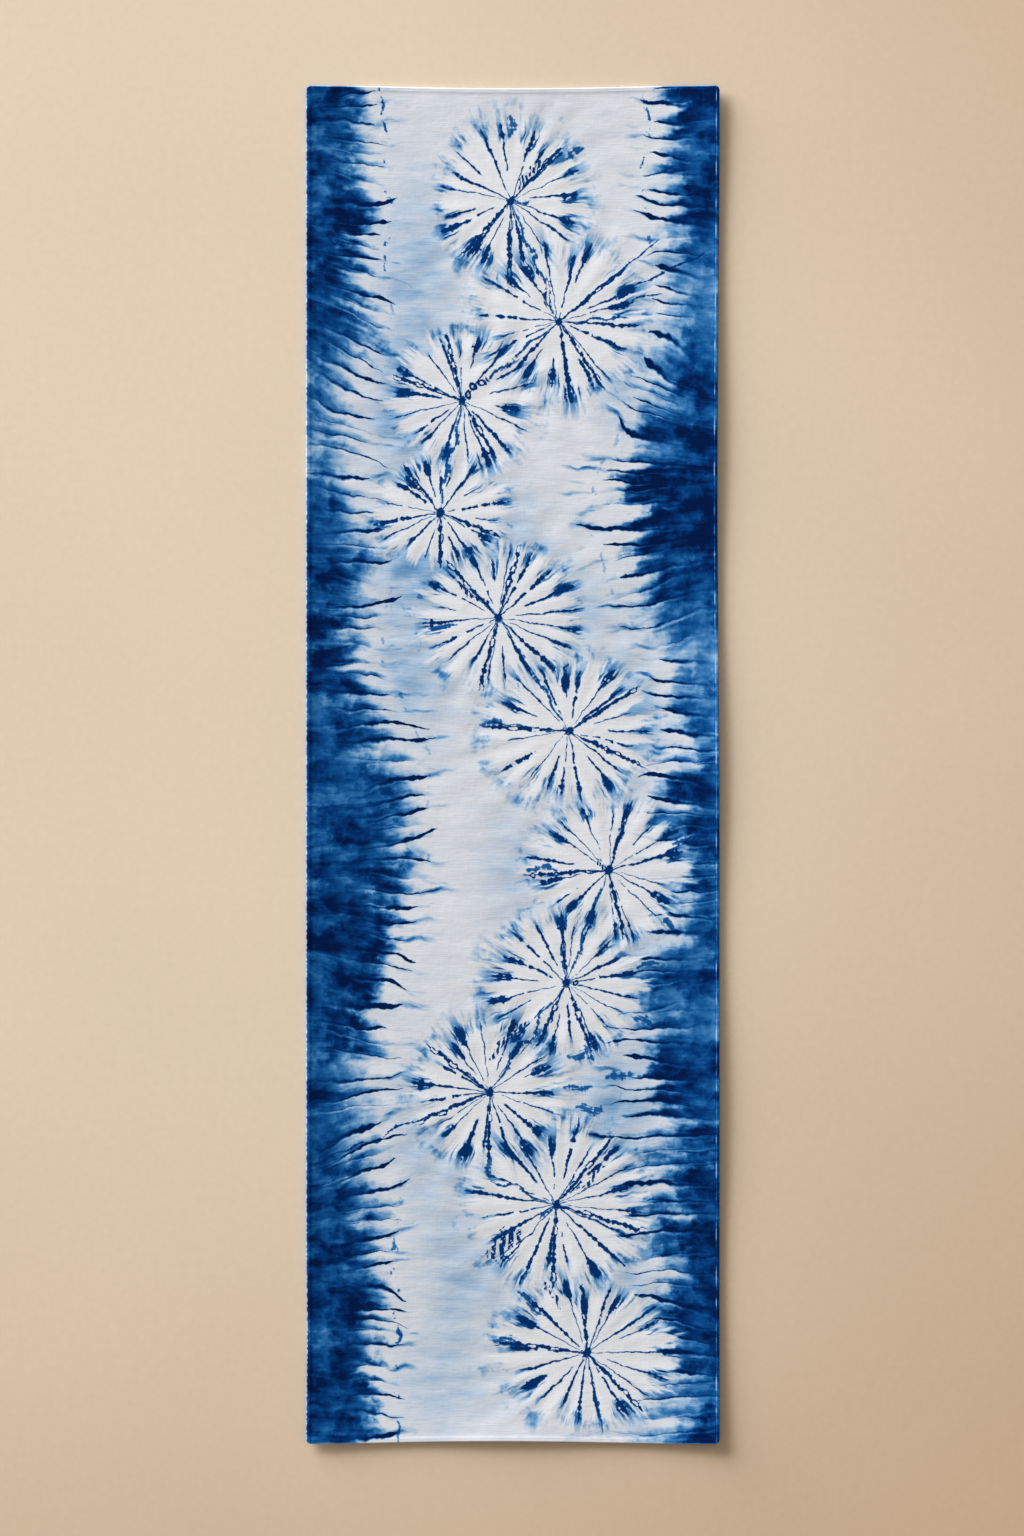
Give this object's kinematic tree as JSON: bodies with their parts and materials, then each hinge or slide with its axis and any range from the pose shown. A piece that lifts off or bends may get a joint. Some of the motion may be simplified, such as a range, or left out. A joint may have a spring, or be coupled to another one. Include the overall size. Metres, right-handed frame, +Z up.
{
  "type": "shibori dyed cloth",
  "caption": "Long narrow cotton cloth, resist-dyed with indigo in spider-web shibori between two blue side bands, hemmed on every side, lying flat.",
  "frame": {"origin": "middle of the underside, where the cloth rests on the surface", "axes": "+Y along the cloth's length, towards the end shown at the top of the picture; +X across its width, to the picture's right; +Z up, out of the dyed face"},
  "size_m": [0.365, 1.2, 0.0054],
  "materials": {
    "dyed_cloth": "matt plain-woven cotton, indigo dyed from near-black navy to pale blue on white"
  },
  "bodies": {
    "root": {"dyed_cloth": "dyed_cloth"}
  },
  "joints": []
}
